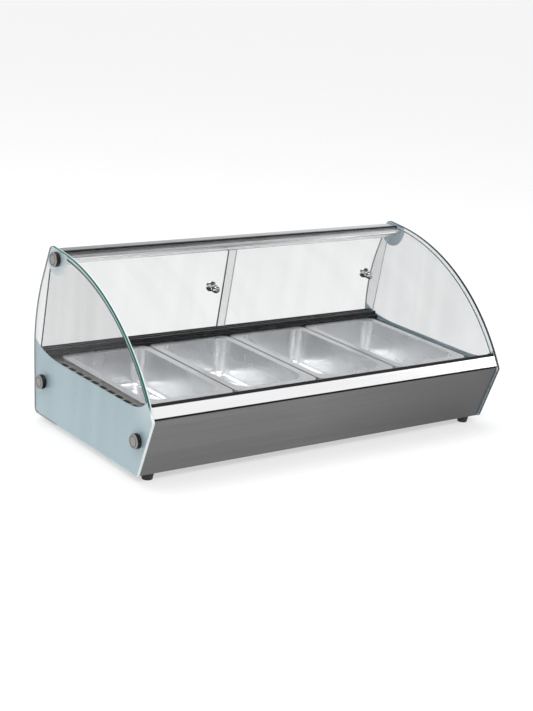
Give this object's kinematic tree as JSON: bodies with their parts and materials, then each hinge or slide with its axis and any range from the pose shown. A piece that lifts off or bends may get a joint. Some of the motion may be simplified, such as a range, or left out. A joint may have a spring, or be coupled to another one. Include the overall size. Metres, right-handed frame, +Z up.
{
  "type": "hot food display case",
  "caption": "Countertop heated food display: curved front glass between glass cheeks, lit top rail, sliding rear doors, food pans over a heated well.",
  "frame": {"origin": "centre of the footprint, on the plane of the feet's soles", "axes": "+X along the case to the right as the customer sees it, +Y from the customer's side to the staff side, +Z up"},
  "size_m": [0.726, 0.3651, 0.299],
  "materials": {
    "front_glass": "clear toughened",
    "side_glass": "clear toughened with a pale grey-blue back print on the lower part",
    "door_glass": "clear toughened, ground edges",
    "front_steel": "brushed along the width",
    "deck_steel": "brushed",
    "polished_steel": "polished",
    "fascia_steel": "polished",
    "case_steel": "brushed",
    "sill_black": "black, satin",
    "well_steel": "drawn, satin",
    "pan_steel": "pressed, satin",
    "rail_aluminium": "brushed and anodised",
    "bolt_steel": "turned face, bright chamfer",
    "zinc_steel": "zinc plated",
    "track_black": "matt extruded",
    "seal_rubber": "matt",
    "foot_rubber": "matt",
    "knob_chrome": "polished",
    "shoe_nylon": "plain",
    "lens_opal": "opal diffuser",
    "board_white": "white circuit board",
    "element_sheath": "heat-darkened sheath",
    "bulb_copper": "copper, dull",
    "wool": "mineral wool slab",
    "control_black": "fine texture",
    "rocker_green": "translucent green",
    "rocker_black": "plain",
    "indicator_amber": "translucent amber",
    "thermostat_body": "phenolic",
    "terminal_plastic": "nylon",
    "driver_white": "moulded case"
  },
  "bodies": {
    "case": {"base_screws": "zinc_steel", "base_tray": "case_steel", "bolt_nuts": "zinc_steel", "cable_gland": "control_black", "cheek_bolts": "bolt_steel", "cheek_washers": "seal_rubber", "deck": "deck_steel", "door_stops": "seal_rubber", "door_track_bottom": "track_black", "door_track_top": "track_black", "element_nuts": "zinc_steel", "element_saddles": "zinc_steel", "end_wall_left": "case_steel", "end_wall_right": "case_steel", "feet": "foot_rubber", "foot_screws": "zinc_steel", "front_glass": "front_glass", "front_ledge": "polished_steel", "front_panel": "front_steel", "glass_gasket": "seal_rubber", "heat_well": "well_steel", "heating_element": "element_sheath", "indicator_lamp": "indicator_amber", "insulation": "wool", "lamp_driver": "driver_white", "lamp_fascia": "fascia_steel", "lamp_lens": "lens_opal", "lamp_switch": "control_black", "led_strip": "board_white", "ledge_seal": "seal_rubber", "pan_bars": "deck_steel", "power_switch": "control_black", "rail_end_plate_left": "rail_aluminium", "rail_end_plate_right": "rail_aluminium", "rail_joint": "seal_rubber", "rear_panel": "case_steel", "rear_screws": "zinc_steel", "rear_sill": "sill_black", "sensor_bulb": "bulb_copper", "sensor_clips": "zinc_steel", "side_glass_left": "side_glass", "side_glass_right": "side_glass", "terminal_block": "terminal_plastic", "thermostat": "thermostat_body", "top_rail": "rail_aluminium"},
    "door_left": {"door_left": "door_glass", "door_knob_left": "knob_chrome", "door_cap_left": "knob_chrome", "door_shoes_left": "shoe_nylon"},
    "door_right": {"door_right": "door_glass", "door_knob_right": "knob_chrome", "door_cap_right": "knob_chrome", "door_shoes_right": "shoe_nylon"},
    "pan_1": {"food_pan_1": "pan_steel"},
    "pan_2": {"food_pan_2": "pan_steel"},
    "pan_3": {"food_pan_3": "pan_steel"},
    "pan_4": {"food_pan_4": "pan_steel"},
    "thermostat_dial": {"thermostat_knob": "control_black"},
    "power_button": {"power_rocker": "rocker_green"},
    "lamp_button": {"lamp_rocker": "rocker_black"}
  },
  "joints": [
    {"name": "door_left_slide", "type": "slide", "parent": "case", "child": "door_left", "axis": [1, 0, 0], "range_m": [0, 0.15]},
    {"name": "door_right_slide", "type": "slide", "parent": "case", "child": "door_right", "axis": [-1, 0, 0], "range_m": [0, 0.15]},
    {"name": "pan_1_lift", "type": "slide", "parent": "case", "child": "pan_1", "axis": [0, 0, 1], "range_m": [0, 0.045]},
    {"name": "pan_2_lift", "type": "slide", "parent": "case", "child": "pan_2", "axis": [0, 0, 1], "range_m": [0, 0.045]},
    {"name": "pan_3_lift", "type": "slide", "parent": "case", "child": "pan_3", "axis": [0, 0, 1], "range_m": [0, 0.045]},
    {"name": "pan_4_lift", "type": "slide", "parent": "case", "child": "pan_4", "axis": [0, 0, 1], "range_m": [0, 0.045]},
    {"name": "thermostat_turn", "type": "hinge", "parent": "case", "child": "thermostat_dial", "pos_m": [0.24, 0.1716, 0.062], "axis": [0, -1, 0], "range_deg": [0, 270]},
    {"name": "power_rock", "type": "hinge", "parent": "case", "child": "power_button", "pos_m": [0.18, 0.1685, 0.062], "axis": [-1, 0, 0], "range_deg": [0, 16]},
    {"name": "lamp_rock", "type": "hinge", "parent": "case", "child": "lamp_button", "pos_m": [0.145, 0.1685, 0.062], "axis": [-1, 0, 0], "range_deg": [0, 16]}
  ]
}
